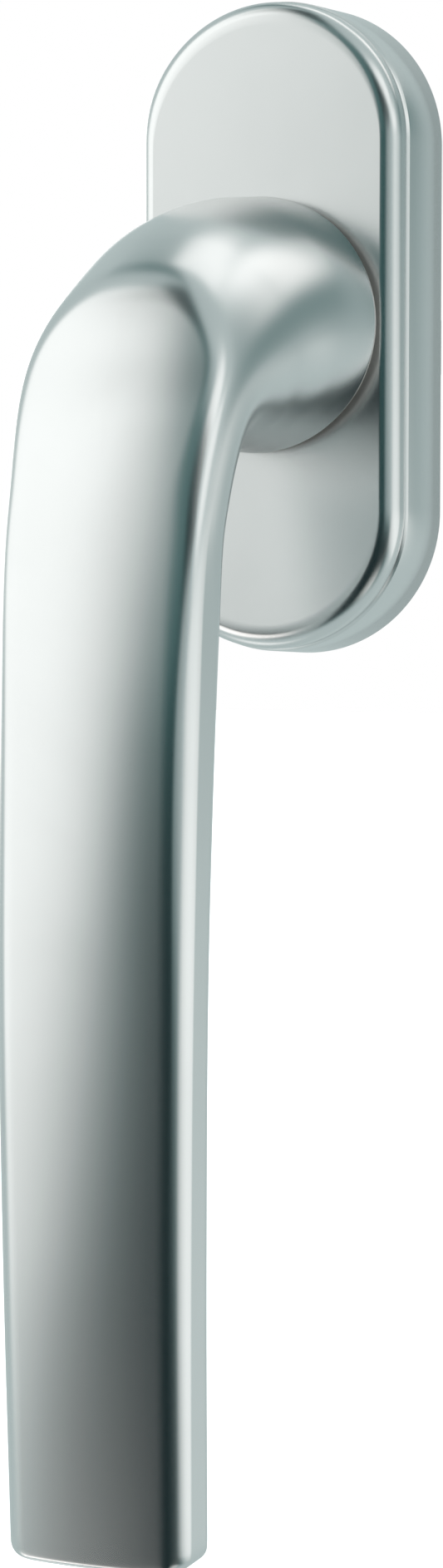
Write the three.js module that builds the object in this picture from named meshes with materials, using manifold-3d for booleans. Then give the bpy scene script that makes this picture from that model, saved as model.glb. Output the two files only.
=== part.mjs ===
// Tilt and turn window handle: a swept grip on a round neck, turning in a slim rosette.
//
// Frame, millimetres: +Z up, the room on the -Y side. The origin is on the spindle axis in the
// plane where the rosette meets the sash, so Y = 0 is the sash and the spindle runs along Y.
// The grip points down, which is the closed position.
import * as THREE from "three";
import { mergeVertices } from "three/addons/utils/BufferGeometryUtils.js";
import Module from "manifold-3d";

const wasm = await Module();
wasm.setup();

// ---------------------------------------------------------------- driving dimensions
const CLEARANCE = 0.3; // between pieces that rest on each other
const RUNNING = 0.1; // radial, between pieces that turn or slide in each other

// The cover: its edge stands edgeDepth behind the face and the band in front of it stands in by step.
const ROSETTE = { width: 30, height: 68, depth: 12.4, wall: 1.3, draft: 0.4 };
const ROSETTE_EDGE = { radius: 1.4, depth: 3.5, step: 0.25, innerSlope: 1 };
const NECK_GAP = 2; // between the cover and the end of the neck; the slide ring stands in it
const NECK_END = -(ROSETTE.depth + NECK_GAP);
const NECK_RADIUS = 13.1;
const LOBE_CENTRE = (ROSETTE.height - ROSETTE.width) / 2;

// The grip from the end of the neck to its tip. Each station is a rounded box square to the path:
// its centre (y, z), the lean of the path in degrees (0 along -Y, 90 along -Z), and half its
// thickness, half its width and its corner radius.
const GRIP_STATIONS = [
  { y: NECK_END, z: 0, lean: 0, thick: NECK_RADIUS, wide: NECK_RADIUS, corner: NECK_RADIUS },
  { y: -24, z: -0.7, lean: 6, thick: 12.4, wide: 13, corner: 12.2 },
  { y: -33.5, z: -3.2, lean: 25, thick: 10.9, wide: 12.2, corner: 9.5 },
  { y: -43.8, z: -8.5, lean: 53, thick: 8.1, wide: 11.3, corner: 6.5 },
  { y: -48.5, z: -18.5, lean: 73, thick: 5.3, wide: 10.6, corner: 4.2 },
  { y: -50.2, z: -30, lean: 82, thick: 4.4, wide: 10.35, corner: 3 },
  { y: -51.7, z: -60, lean: 89, thick: 3.8, wide: 10.1, corner: 2.4 },
  { y: -51.5, z: -90, lean: 91, thick: 3.8, wide: 9.75, corner: 2.3 },
  { y: -50.5, z: -119.3, lean: 92, thick: 3.8, wide: 9.4, corner: 2.2 },
];
const GRIP_STEPS = 32; // sections along the grip
const GRIP_SIDES = 36; // points round each section
const TIP_ROUNDING = 1;
const RIM_CHAMFER = 0.4; // at the end of the neck

const SPINDLE = { side: 7, chamfer: 0.4, back: -32, end: 32 };
const SOCKET_SIDE = SPINDLE.side + 0.2;
const BOSS = { radius: 7.5, end: -5.4 };
const GROOVE = { front: -7, back: -6.1, radius: 6.7 };
const PIN = { radius: 1.1, half: 7.1, y: -11, hole: 1.35 };

const PLATE = { thick: 1.6, halfWidth: 13.35, spindleHole: 5.2 };
const HOUSING = { radius: 12.9, front: -9, shelf: -4.9, frontWall: 1.4, ringRoom: 9.6, chamfer: 0.6 };
const BUSH_BORE = 8.7; // in the front wall of the housing
const ON_PLATE = -(PLATE.thick + CLEARANCE); // back of the pieces that stand on the plate

const ROTOR = { radius: 6.4, front: -4.7, back: -2.1 };
const BALL = { radius: 1.6, travel: 0.8, y: -3.4 };
const BALL_SEAT = ROTOR.radius + RUNNING + BALL.radius; // ball centre from the axis while it is pushed out
const BALL_SLOT = { half: BALL.radius + RUNNING, inner: 5, end: 12.1 };
const SPRING = { radius: 1.25, wire: 0.2, turns: 3.5, inner: 9.8, outer: 12, steps: 10, sides: 6 };

// Open ring in the groove of the boss, its two eyes low beside the gap, and washers around it.
const RETAINER = { outer: 8.9, eye: 1, eyeHole: 0.5, eyeX: 1.9, eyeZ: -8.1, gap: 0.9, play: 0.1 };
const WAVE_WASHER = { inner: 7.8, outer: 9.2, thick: 0.2, wave: 0.06, waves: 3, sides: 48 };
const THRUST_WASHER = { inner: 5.4, outer: ROTOR.radius - RUNNING, play: 0.1 };

const SLIDE_RING = { outer: 12.8, front: NECK_END + 0.2, back: -13.5, rounding: 0.2 };
const BUSH = { inner: BOSS.radius + RUNNING, collar: 9.8, front: -13.3, shoulder: -9.2, back: -7.8 };
const COVER_HOLE = BUSH.collar + 0.5;
const GUIDE_RING = { inner: BUSH.collar + 0.2, outer: 12.1, front: -10.8, back: -9.4 };

const FIXING_SPACING = 43; // between the two fixing screws
const LUG = { radius: 5, flange: 6.2, front: -3.6, end: 4, bore: 2.8, sink: 4.85, sinkDepth: 2.1, lead: 0.5 };
const SCREW = { radius: 2.5, head: 4.6, top: -3.55, headDepth: 2.1, length: 35, point: 0.8 };
const RECESS = { long: 4.6, wide: 0.9, deep: 1.5 }; // cross in the head of a screw
const RIVET = { radius: 1, head: 1.7, headDepth: 0.6, tip: -6.4, place: 7.2, hole: 1.25 };
const SNAP_BLOCK = { halfWidth: 4, inner: 28.1, front: -6.4, radius: 12.9 };
const BEYOND = 1; // how far a cutting tool runs past what it cuts

// ---------------------------------------------------------------- materials
function material(color, roughness, metalness) {
  return new THREE.MeshStandardMaterial({ color, roughness, metalness });
}

const ANODISED = material(0xc9ccca, 0.38, 1);
const ZINC = material(0xa9adae, 0.5, 1);
const STEEL = material(0xb4b7b8, 0.35, 1);
const SPRING_STEEL = material(0x8c8f91, 0.3, 1);
const ACETAL = material(0x2a2c2d, 0.55, 0);
const NYLON = material(0xd8d8d2, 0.6, 0);

// ---------------------------------------------------------------- solids
/** A closed geometry as a solid: only its positions count, and collapsed triangles are dropped. */
function solid(geometry) {
  const bare = new THREE.BufferGeometry();
  bare.setAttribute("position", geometry.getAttribute("position").clone());
  if (geometry.index) bare.setIndex(geometry.index.clone());
  const merged = mergeVertices(bare, 1e-4);
  const all = merged.index.array;
  const kept = [];
  for (let i = 0; i < all.length; i += 3) {
    const [a, b, c] = [all[i], all[i + 1], all[i + 2]];
    if (a !== b && b !== c && a !== c) kept.push(a, b, c);
  }
  const vertProperties = merged.attributes.position.array;
  return new wasm.Manifold(new wasm.Mesh({ numProp: 3, vertProperties, triVerts: new Uint32Array(kept) }));
}

/** The solid's surface as a three.js geometry. */
function surface(body) {
  const mesh = body.getMesh();
  return new THREE.BufferGeometry()
    .setAttribute("position", new THREE.BufferAttribute(mesh.vertProperties, 3))
    .setIndex(new THREE.BufferAttribute(mesh.triVerts, 1));
}

const cut = (body, ...tools) => tools.reduce((left, tool) => left.subtract(solid(tool)), body);

/** Closed skin over rings of equal length: each end gets a fan cap, or the last ring joins the first. */
function loft(rings, endless = false) {
  const sides = rings[0].length;
  const points = rings.flat();
  const faces = [];
  for (let ring = 0; ring < rings.length - (endless ? 0 : 1); ring++) {
    const [here, next] = [ring * sides, ((ring + 1) % rings.length) * sides];
    for (let i = 0; i < sides; i++) {
      const j = (i + 1) % sides;
      faces.push(here + i, here + j, next + j, here + i, next + j, next + i);
    }
  }
  const cap = (start, turn) => {
    const ring = points.slice(start, start + sides);
    const middle = ring.reduce((sum, p) => sum.add(p), new THREE.Vector3()).divideScalar(sides);
    points.push(middle);
    for (let i = 0; i < sides; i++) {
      const [a, b] = [start + i, start + ((i + 1) % sides)];
      faces.push(points.length - 1, ...(turn ? [a, b] : [b, a]));
    }
  };
  if (!endless) {
    cap(0, false);
    cap((rings.length - 1) * sides, true);
  }
  return new THREE.BufferGeometry().setFromPoints(points).setIndex(faces);
}

/** Solid of revolution about the Y axis from [radius, y] pairs that run with y rising outside. */
function turned(profile, segments = 48) {
  return new THREE.LatheGeometry(profile.map(([radius, y]) => new THREE.Vector2(radius, y)), segments);
}

/** Tube about the Y axis between two y values. */
function tube(inner, outer, from, to, segments = 48) {
  return turned([[inner, from], [outer, from], [outer, to], [inner, to], [inner, from]], segments);
}

/** Rod about the Y axis between two y values. */
function rod(radius, from, to, segments = 32) {
  return turned([[0, from], [radius, from], [radius, to], [0, to]], segments);
}

/** Box between two corners. */
function block([x0, y0, z0], [x1, y1, z1]) {
  const box = new THREE.BoxGeometry(x1 - x0, y1 - y0, z1 - z0);
  return box.translate((x0 + x1) / 2, (y0 + y1) / 2, (z0 + z1) / 2);
}

/** Square bar along Y with chamfered edges. */
function squareBar(side, chamfer, from, to) {
  const [far, near] = [side / 2, side / 2 - chamfer];
  const corners = [
    [far, near], [near, far], [-near, far], [-far, near],
    [-far, -near], [-near, -far], [near, -far], [far, -near],
  ];
  const outline = new THREE.Shape(corners.map(([x, y]) => new THREE.Vector2(x, y)));
  const bar = new THREE.ExtrudeGeometry(outline, { depth: to - from, bevelEnabled: false });
  return bar.rotateX(-Math.PI / 2).translate(0, from, 0);
}

/** Ring of points in the plane at y: a slot outline whose round ends are about z = +-LOBE_CENTRE. */
function slotRing(halfWidth, y, perEnd = 24) {
  const ring = [];
  for (const end of [1, -1]) {
    for (let i = 0; i <= perEnd; i++) {
      const angle = (Math.PI * i) / perEnd;
      const [x, z] = [end * halfWidth * Math.cos(angle), end * (LOBE_CENTRE + halfWidth * Math.sin(angle))];
      ring.push(new THREE.Vector3(x, y, z));
    }
  }
  return ring;
}

// ---------------------------------------------------------------- grip
/** Point of a rounded box section on the ray at an angle, as [across, up]. */
function sectionPoint({ thick, wide, corner }, angle) {
  const radius = Math.min(corner, thick - 0.02, wide - 0.02);
  const [dx, dy] = [wide * Math.cos(angle), thick * Math.sin(angle)];
  const [ax, ay] = [Math.abs(dx), Math.abs(dy)];
  const [flatX, flatY] = [wide - radius, thick - radius];
  let reach = wide / Math.max(ax, 1e-9);
  if (reach * ay > flatY) reach = thick / Math.max(ay, 1e-9);
  if (reach * ax > flatX && reach * ay > flatY) {
    const [a, b] = [ax * ax + ay * ay, ax * flatX + ay * flatY];
    const c = flatX * flatX + flatY * flatY - radius * radius;
    reach = (b + Math.sqrt(b * b - a * c)) / a;
  }
  return [reach * dx, reach * dy];
}

/** Ring of the grip's section at a station, drawn in by inset and moved on along the path. */
function gripRing(station, inset = 0, along = 0) {
  const lean = THREE.MathUtils.degToRad(station.lean);
  const shape = { thick: station.thick - inset, wide: station.wide - inset, corner: station.corner };
  const ring = [];
  for (let i = 0; i < GRIP_SIDES; i++) {
    const [across, up] = sectionPoint(shape, (2 * Math.PI * i) / GRIP_SIDES);
    const y = station.y - along * Math.cos(lean) - up * Math.sin(lean);
    const z = station.z - along * Math.sin(lean) + up * Math.cos(lean);
    ring.push(new THREE.Vector3(across, y, z));
  }
  return ring;
}

/** Smooth run of sections through the stations. */
function gripSections() {
  const curve = (pick) => new THREE.CatmullRomCurve3(GRIP_STATIONS.map(pick), false, "catmullrom", 0.5);
  const places = curve((s) => new THREE.Vector3(s.y, s.z, s.lean));
  const sizes = curve((s) => new THREE.Vector3(s.thick, s.wide, s.corner));
  const sections = [];
  for (let i = 0; i <= GRIP_STEPS; i++) {
    const [place, size] = [places.getPoint(i / GRIP_STEPS), sizes.getPoint(i / GRIP_STEPS)];
    sections.push({ y: place.x, z: place.y, lean: place.z, thick: size.x, wide: size.y, corner: size.z });
  }
  return sections;
}

/** Grip and neck in one casting, with the turned boss, ring groove, spindle socket and pin hole. */
function handleGrip() {
  const sections = gripSections();
  const [first, last] = [sections[0], sections.at(-1)];
  const rings = [gripRing(first, RIM_CHAMFER), gripRing(first, 0, RIM_CHAMFER)];
  rings.push(...sections.slice(1, -1).map((section) => gripRing(section)));
  for (const angle of [0, 30, 60, 90]) {
    const turn = THREE.MathUtils.degToRad(angle);
    rings.push(gripRing(last, TIP_ROUNDING * (1 - Math.cos(turn)), TIP_ROUNDING * (Math.sin(turn) - 1)));
  }
  const root = NECK_END - BEYOND; // the boss starts inside the neck
  const boss = turned([
    [0, root], [BOSS.radius, root], [BOSS.radius, GROOVE.front], [GROOVE.radius, GROOVE.front],
    [GROOVE.radius, GROOVE.back], [BOSS.radius, GROOVE.back], [BOSS.radius, BOSS.end], [0, BOSS.end],
  ]);
  const casting = solid(loft(rings)).add(solid(boss));
  const socket = squareBar(SOCKET_SIDE, SPINDLE.chamfer, SPINDLE.back - CLEARANCE, BOSS.end + BEYOND);
  return surface(cut(casting, socket, crossPin(PIN.hole, BOSS.radius + BEYOND)));
}

/** Round bar along X at the pin's place. */
function crossPin(radius, half) {
  return rod(radius, -half, half, 20).rotateZ(Math.PI / 2).translate(0, PIN.y, 0);
}

function squareSpindle() {
  const bar = squareBar(SPINDLE.side, SPINDLE.chamfer, SPINDLE.back, SPINDLE.end);
  return surface(cut(solid(bar), crossPin(PIN.hole, BOSS.radius + BEYOND)));
}

// ---------------------------------------------------------------- rosette
/** Thin cap with round ends: plain wall, crisp edge, narrow band, rounded edge and flat face. */
function rosetteCover() {
  const back = ROSETTE.width / 2;
  const edge = back - ROSETTE.draft;
  const face = -ROSETTE.depth;
  const { radius, depth, step, innerSlope } = ROSETTE_EDGE;
  const outer = [slotRing(back, 0), slotRing(edge, face + depth), slotRing(edge - step, face + depth - step)];
  for (const angle of [0, 30, 60, 90]) {
    const turn = THREE.MathUtils.degToRad(angle);
    const inset = step + radius * (1 - Math.cos(turn));
    outer.push(slotRing(edge - inset, face + radius * (1 - Math.sin(turn))));
  }
  const inner = [slotRing(back - ROSETTE.wall, BEYOND), slotRing(edge - ROSETTE.wall, face + depth)];
  inner.push(slotRing(edge - ROSETTE.wall - innerSlope, face + ROSETTE.wall));
  const shell = solid(loft(outer)).subtract(solid(loft(inner)));
  return surface(cut(shell, rod(COVER_HOLE, face - BEYOND, face + ROSETTE.wall + BEYOND, 64)));
}

function coverGuideRing() {
  return tube(GUIDE_RING.inner, GUIDE_RING.outer, GUIDE_RING.front, GUIDE_RING.back, 64);
}

function basePlate() {
  const rings = [slotRing(PLATE.halfWidth, 0), slotRing(PLATE.halfWidth, -PLATE.thick)];
  const drill = (radius) => rod(radius, -PLATE.thick - BEYOND, BEYOND);
  const lugHoles = [1, -1].map((end) => drill(LUG.radius + CLEARANCE).translate(0, 0, fixingHeight(end)));
  return surface(cut(solid(loft(rings)), drill(PLATE.spindleHole), ...lugHoles, ...rivetHoles()));
}

/** Height of a fixing's axis; end is 1 above the spindle, -1 below. */
function fixingHeight(end) {
  return (end * FIXING_SPACING) / 2;
}

/** The four rivet axes as [x, z]. */
function rivetPlaces() {
  return [[1, 1], [-1, 1], [-1, -1], [1, -1]].map(([x, z]) => [x * RIVET.place, z * RIVET.place]);
}

/** Countersunk rivet about Y, its head flush with the sash side, made larger all round by extra. */
function rivetShape(extra = 0) {
  const [radius, head] = [RIVET.radius + extra, RIVET.head + extra];
  const [tip, neck] = [RIVET.tip - extra, -RIVET.headDepth - extra];
  return turned([[0, tip], [radius, tip], [radius, neck], [head, -extra / 2], [head, extra], [0, extra]], 16);
}

function rivetHoles() {
  return rivetPlaces().map(([x, z]) => rivetShape(RIVET.hole - RIVET.radius).translate(x, 0, z));
}

/** Round pot that carries the bush and guides the balls: two slots open to the base plate. */
function detentHousing() {
  const { radius, front, shelf, frontWall, ringRoom, chamfer } = HOUSING;
  const bore = ROTOR.radius + 2 * RUNNING;
  const wallInside = front + frontWall;
  const pot = turned([
    [bore, ON_PLATE], [bore, shelf], [ringRoom, shelf], [ringRoom, wallInside], [BUSH_BORE, wallInside],
    [BUSH_BORE, front], [radius - chamfer, front], [radius, front + chamfer], [radius, ON_PLATE],
    [bore, ON_PLATE],
  ], 64);
  const top = BALL.y - BALL.radius - RUNNING;
  const { half, inner, end: outer } = BALL_SLOT;
  const slots = [[inner, outer], [-outer, -inner]].map(([low, high]) => {
    return block([-half, top, low], [half, ON_PLATE + BEYOND, high]);
  });
  return surface(cut(solid(pot), ...slots, ...rivetHoles()));
}

function bearingBush() {
  const { inner, collar, front, shoulder, back } = BUSH;
  const seat = BUSH_BORE - RUNNING;
  return turned([
    [inner, front], [collar, front], [collar, shoulder], [seat, shoulder], [seat, back], [inner, back],
    [inner, front],
  ], 64);
}

/** Thin ring on the boss against the end of the neck, a little smaller than the neck. */
function neckSlideRing() {
  const { outer, front, back, rounding } = SLIDE_RING;
  const inner = BOSS.radius + RUNNING;
  return turned([
    [inner, front], [outer - rounding, front], [outer, front + rounding], [outer, back - rounding],
    [outer - rounding, back], [inner, back], [inner, front],
  ], 64);
}

/** Sleeve on the spindle with four ball seats a quarter turn apart. */
function indexRotor() {
  const sleeve = solid(rod(ROTOR.radius, ROTOR.front, ROTOR.back, 64));
  const [from, to] = [ROTOR.front - BEYOND, ROTOR.back + BEYOND];
  const square = squareBar(SOCKET_SIDE, SPINDLE.chamfer, from, to);
  const seats = [0, 1, 2, 3].map((quarter) => {
    const seat = rod(BALL.radius + RUNNING, from, to, 24).translate(0, 0, BALL_SEAT - BALL.travel);
    return seat.rotateY((quarter * Math.PI) / 2);
  });
  return surface(cut(sleeve, square, ...seats));
}

/** Steel ball while it is pushed out by the rim of the rotor; end is 1 above the axis, -1 below. */
function detentBall(end) {
  return new THREE.SphereGeometry(BALL.radius, 20, 12).translate(0, BALL.y, end * BALL_SEAT);
}

/** Compression spring between a ball and the end of its slot. */
function detentSpring(end) {
  const [low, high] = [SPRING.inner + SPRING.wire, SPRING.outer - SPRING.wire];
  const count = SPRING.turns * SPRING.steps;
  const path = [];
  for (let i = 0; i <= count; i++) {
    const angle = (2 * Math.PI * i) / SPRING.steps;
    const [x, y] = [SPRING.radius * Math.cos(angle), BALL.y + SPRING.radius * Math.sin(angle)];
    path.push(new THREE.Vector3(x, y, end * (low + ((high - low) * i) / count)));
  }
  const wire = new THREE.Shape().absarc(0, 0, SPRING.wire, 0, 2 * Math.PI);
  const extrudePath = new THREE.CatmullRomCurve3(path);
  const options = { steps: count, curveSegments: SPRING.sides, extrudePath, bevelEnabled: false };
  return surface(solid(new THREE.ExtrudeGeometry(wire, options)));
}

/** Open ring with two eyes that snaps into the groove of the boss. */
function retainingRing() {
  const { outer, eye, eyeHole, eyeX, eyeZ, gap, play } = RETAINER;
  const [front, back] = [GROOVE.front + play, GROOVE.back - play];
  const ring = solid(tube(GROOVE.radius + RUNNING, outer, front, back));
  const atEyes = (radius, from, to) => {
    return [1, -1].map((side) => rod(radius, from, to, 16).translate(side * eyeX, 0, eyeZ));
  };
  const whole = atEyes(eye, front, back).reduce((body, disc) => body.add(solid(disc)), ring);
  const opening = block([-gap, front - BEYOND, eyeZ - outer / 2], [gap, back + BEYOND, eyeZ + outer / 2]);
  return surface(cut(whole, opening, ...atEyes(eyeHole, front - BEYOND, back + BEYOND)));
}

/** Thin washer whose face waves as it goes round, between the housing wall and the ring. */
function waveWasher() {
  const { inner, outer, thick, wave, waves, sides } = WAVE_WASHER;
  const middle = (HOUSING.front + HOUSING.frontWall + GROOVE.front) / 2;
  const rings = [[inner, 1], [outer, 1], [outer, -1], [inner, -1]].map(([radius, side]) => {
    return Array.from({ length: sides }, (_, i) => {
      const angle = (2 * Math.PI * i) / sides;
      const y = middle + (side * thick) / 2 + wave * Math.sin(waves * angle);
      return new THREE.Vector3(radius * Math.cos(angle), y, radius * Math.sin(angle));
    });
  });
  return loft(rings, true);
}

function thrustWasher() {
  const { inner, outer, play } = THRUST_WASHER;
  return tube(inner, outer, BOSS.end + play, ROTOR.front - play);
}

// ---------------------------------------------------------------- fixings
/** Flanged sleeve that keys the plate into the sash and seats a countersunk screw. */
function locatingLug(end) {
  const { radius, flange, front, end: back, bore, sink, sinkDepth, lead } = LUG;
  const sleeve = turned([
    [bore, front + sinkDepth], [sink, front], [flange, front], [flange, ON_PLATE], [radius, ON_PLATE],
    [radius, back - lead], [radius - lead, back], [bore, back], [bore, front + sinkDepth],
  ]);
  return sleeve.translate(0, 0, fixingHeight(end));
}

/** Countersunk machine screw with a cross recess. */
function fixingScrew(end) {
  const { radius, head, top, headDepth, length, point } = SCREW;
  const tip = top + length;
  const blank = turned([
    [0, top], [head, top], [radius, top + headDepth], [radius, tip - point], [radius - point, tip], [0, tip],
  ]);
  const [long, wide] = [RECESS.long / 2, RECESS.wide / 2];
  const slots = [[long, wide], [wide, long]].map(([x, z]) => {
    return block([-x, top - BEYOND, -z], [x, top + RECESS.deep, z]);
  });
  return surface(cut(solid(blank), ...slots)).translate(0, 0, fixingHeight(end));
}

/** Moulded block on the plate that holds the cover from inside, at the round end of the rosette. */
function snapBlock(end) {
  const { halfWidth, inner, front, radius } = SNAP_BLOCK;
  const outer = LOBE_CENTRE + radius + BEYOND;
  const bar = solid(block([-halfWidth, front, inner], [halfWidth, ON_PLATE, outer]));
  const round = rod(radius, front - BEYOND, ON_PLATE + BEYOND, 96).translate(0, 0, LOBE_CENTRE);
  return surface(bar.intersect(solid(round))).rotateY(end > 0 ? 0 : Math.PI);
}

// ---------------------------------------------------------------- assembly
const handle = new THREE.Group();

function place(name, geometry, finish) {
  const piece = new THREE.Mesh(geometry, finish);
  piece.name = name;
  handle.add(piece);
}

place("handle_grip", handleGrip(), ANODISED);
place("square_spindle", squareSpindle(), STEEL);
place("spindle_pin", crossPin(PIN.radius, PIN.half), SPRING_STEEL);
place("rosette_cover", rosetteCover(), ANODISED);
place("cover_guide_ring", coverGuideRing(), NYLON);
place("base_plate", basePlate(), STEEL);
place("detent_housing", detentHousing(), ZINC);
place("bearing_bush", bearingBush(), ACETAL);
place("neck_slide_ring", neckSlideRing(), NYLON);
place("index_rotor", indexRotor(), STEEL);
place("retaining_ring", retainingRing(), SPRING_STEEL);
place("wave_washer", waveWasher(), SPRING_STEEL);
place("thrust_washer", thrustWasher(), STEEL);

for (const [side, end] of [["upper", 1], ["lower", -1]]) {
  place(`${side}_detent_ball`, detentBall(end), STEEL);
  place(`${side}_detent_spring`, detentSpring(end), SPRING_STEEL);
  place(`${side}_locating_lug`, locatingLug(end), ZINC);
  place(`${side}_fixing_screw`, fixingScrew(end), STEEL);
  place(`${side}_snap_block`, snapBlock(end), NYLON);
}

rivetPlaces().forEach(([x, z], i) => {
  place(`housing_rivet_${i + 1}`, rivetShape().translate(x, 0, z), STEEL);
});

export default handle;
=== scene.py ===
"""Looks of a tilt and turn window handle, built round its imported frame.

The frame gives every place and outer size, in metres: +Z is up, the sash is the plane Y = 0 and the
room is on the -Y side. The classes below hold the making sizes in millimetres, build fine skins from
formulas in numpy, and dress them and the frame's own hidden parts in their finishes.
"""

import logging
import math
from dataclasses import dataclass, field
from enum import Enum

import bpy
import numpy as np
from mathutils import Matrix, Vector


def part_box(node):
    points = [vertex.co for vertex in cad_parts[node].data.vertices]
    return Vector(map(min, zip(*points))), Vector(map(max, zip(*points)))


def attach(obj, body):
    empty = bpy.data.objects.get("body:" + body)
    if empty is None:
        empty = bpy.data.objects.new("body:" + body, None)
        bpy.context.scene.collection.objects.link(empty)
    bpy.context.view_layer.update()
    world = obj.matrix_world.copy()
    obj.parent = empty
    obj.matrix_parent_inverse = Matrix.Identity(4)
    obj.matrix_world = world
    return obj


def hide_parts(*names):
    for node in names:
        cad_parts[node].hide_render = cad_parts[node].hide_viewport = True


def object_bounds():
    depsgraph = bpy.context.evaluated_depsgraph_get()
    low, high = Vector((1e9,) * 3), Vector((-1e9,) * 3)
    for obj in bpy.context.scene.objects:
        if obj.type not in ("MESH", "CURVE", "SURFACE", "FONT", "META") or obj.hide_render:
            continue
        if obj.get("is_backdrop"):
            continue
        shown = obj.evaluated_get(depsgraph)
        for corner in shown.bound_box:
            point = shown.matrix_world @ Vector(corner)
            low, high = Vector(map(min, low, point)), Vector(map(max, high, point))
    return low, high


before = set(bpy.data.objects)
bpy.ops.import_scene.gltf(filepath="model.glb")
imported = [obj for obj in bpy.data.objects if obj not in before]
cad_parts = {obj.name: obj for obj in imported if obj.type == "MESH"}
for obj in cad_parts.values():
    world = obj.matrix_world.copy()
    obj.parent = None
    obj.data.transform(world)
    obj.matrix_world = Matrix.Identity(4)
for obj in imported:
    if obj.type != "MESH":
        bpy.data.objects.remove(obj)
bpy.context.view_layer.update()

log = logging.getLogger("window_handle")

MM = 0.001
OUTLINE_RISE = math.radians(28)
Array = np.ndarray
Pair = tuple[float, float]
Material = bpy.types.Material
NodeTree = bpy.types.NodeTree
Object = bpy.types.Object
Socket = bpy.types.NodeSocket


# ------------------------------------------------------------------------------------ skins
def skin(name: str, rings: Array, endless: bool = False, crease: float = 35.0) -> Object:
    """Closed mesh over a stack of rings.

    Vertex (k, i) is point i of ring k. Each quad joins neighbours of two rings. Unless the stack is
    endless, a fan about the mean of the first and of the last ring closes it. If the signed volume,
    the sum of a . (b x c) over the triangles, is negative, every face is turned round.

    Args:
        name: Name of the object.
        rings: Points in metres, shaped (rings, points, 3).
        endless: Whether the last ring joins the first.
        crease: Edges sharper than this many degrees stay crisp.

    Returns:
        The new object, linked to the scene, with its place in its mesh.
    """
    count, sides, _ = rings.shape
    points = rings.reshape(-1, 3)
    here = np.arange(count if endless else count - 1)[:, None] * sides
    after = (here + sides) % (count * sides)
    i = np.arange(sides)[None, :]
    j = (i + 1) % sides
    quads = np.stack([here + i, here + j, after + j, after + i], axis=-1).reshape(-1, 4)
    fans = np.zeros((0, 3), int)
    if not endless:
        points = np.vstack([points, rings[0].mean(0), rings[-1].mean(0)])
        first, last = count * sides, count * sides + 1
        top = (count - 1) * sides
        fans = np.vstack([
            np.stack([np.full(sides, first), j[0], i[0]], axis=-1),
            np.stack([np.full(sides, last), top + i[0], top + j[0]], axis=-1),
        ])
    triangles = np.vstack([quads[:, [0, 1, 2]], quads[:, [0, 2, 3]], fans])
    a, b, c = (points[triangles[:, k]] for k in range(3))
    if np.einsum("ij,ij->", a, np.cross(b, c)) < 0:
        quads, fans = quads[:, ::-1], fans[:, ::-1]
    mesh = bpy.data.meshes.new(name)
    mesh.from_pydata(points.tolist(), [], quads.tolist() + fans.tolist())
    mesh.polygons.foreach_set("use_smooth", np.ones(len(mesh.polygons), bool))
    mesh.set_sharp_from_angle(angle=math.radians(crease))
    mesh.update()
    piece = bpy.data.objects.new(name, mesh)
    bpy.context.scene.collection.objects.link(piece)
    return piece


def filleted(corners: list[tuple[float, float, float]], closed: bool, steps: int = 6) -> Array:
    """Polyline whose corners are rounded.

    At a corner p with unit directions u to the point before and v to the one after, the arc of the
    wanted radius touches both sides at radius / tan(half the angle between u and v). Its centre lies
    on the bisector, and its points turn evenly from one contact to the other.

    Args:
        corners: (x, y, radius) of each corner; a radius of 0 keeps the corner.
        closed: Whether the last corner joins the first.
        steps: Number of steps along each arc.

    Returns:
        Points shaped (n, 2).
    """
    points = np.array([corner[:2] for corner in corners], float)
    made: list[Array] = []
    for k, (point, radius) in enumerate(zip(points, (corner[2] for corner in corners))):
        at_end = not closed and k in (0, len(points) - 1)
        if radius == 0 or at_end:
            made.append(point[None])
            continue
        back = points[k - 1] - point
        on = points[(k + 1) % len(points)] - point
        u, v = back / np.linalg.norm(back), on / np.linalg.norm(on)
        half = math.acos(float(np.clip(u @ v, -1, 1))) / 2
        bisector = (u + v) / np.linalg.norm(u + v)
        centre = point + bisector * radius / math.sin(half)
        start = point + u * radius / math.tan(half) - centre
        cross = start[0] * (v - u)[1] - start[1] * (v - u)[0]
        turn = np.linspace(0, math.copysign(math.pi - 2 * half, cross), steps + 1)
        cos, sin = np.cos(turn), np.sin(turn)
        x, y = start[0] * cos - start[1] * sin, start[0] * sin + start[1] * cos
        made.append(centre + np.stack([x, y], -1))
    return np.vstack(made)


def turned(profile: Array, centre: Pair = (0.0, 0.0), sides: int = 128) -> Array:
    """Rings of a turned part about Y: point i of ring k is (r cos t, y, r sin t) + centre.

    Args:
        profile: (radius, y) of each ring in millimetres, shaped (rings, 2).
        centre: Axis as (x, z) in millimetres.
        sides: Points round each ring.

    Returns:
        Rings in metres.
    """
    angle = np.linspace(0, 2 * np.pi, sides, endpoint=False)
    radius, height = profile[:, 0:1], profile[:, 1:2]
    x = centre[0] + radius * np.cos(angle)
    z = centre[1] + radius * np.sin(angle)
    return np.stack([x, np.broadcast_to(height, x.shape), z], axis=-1) * MM


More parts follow.
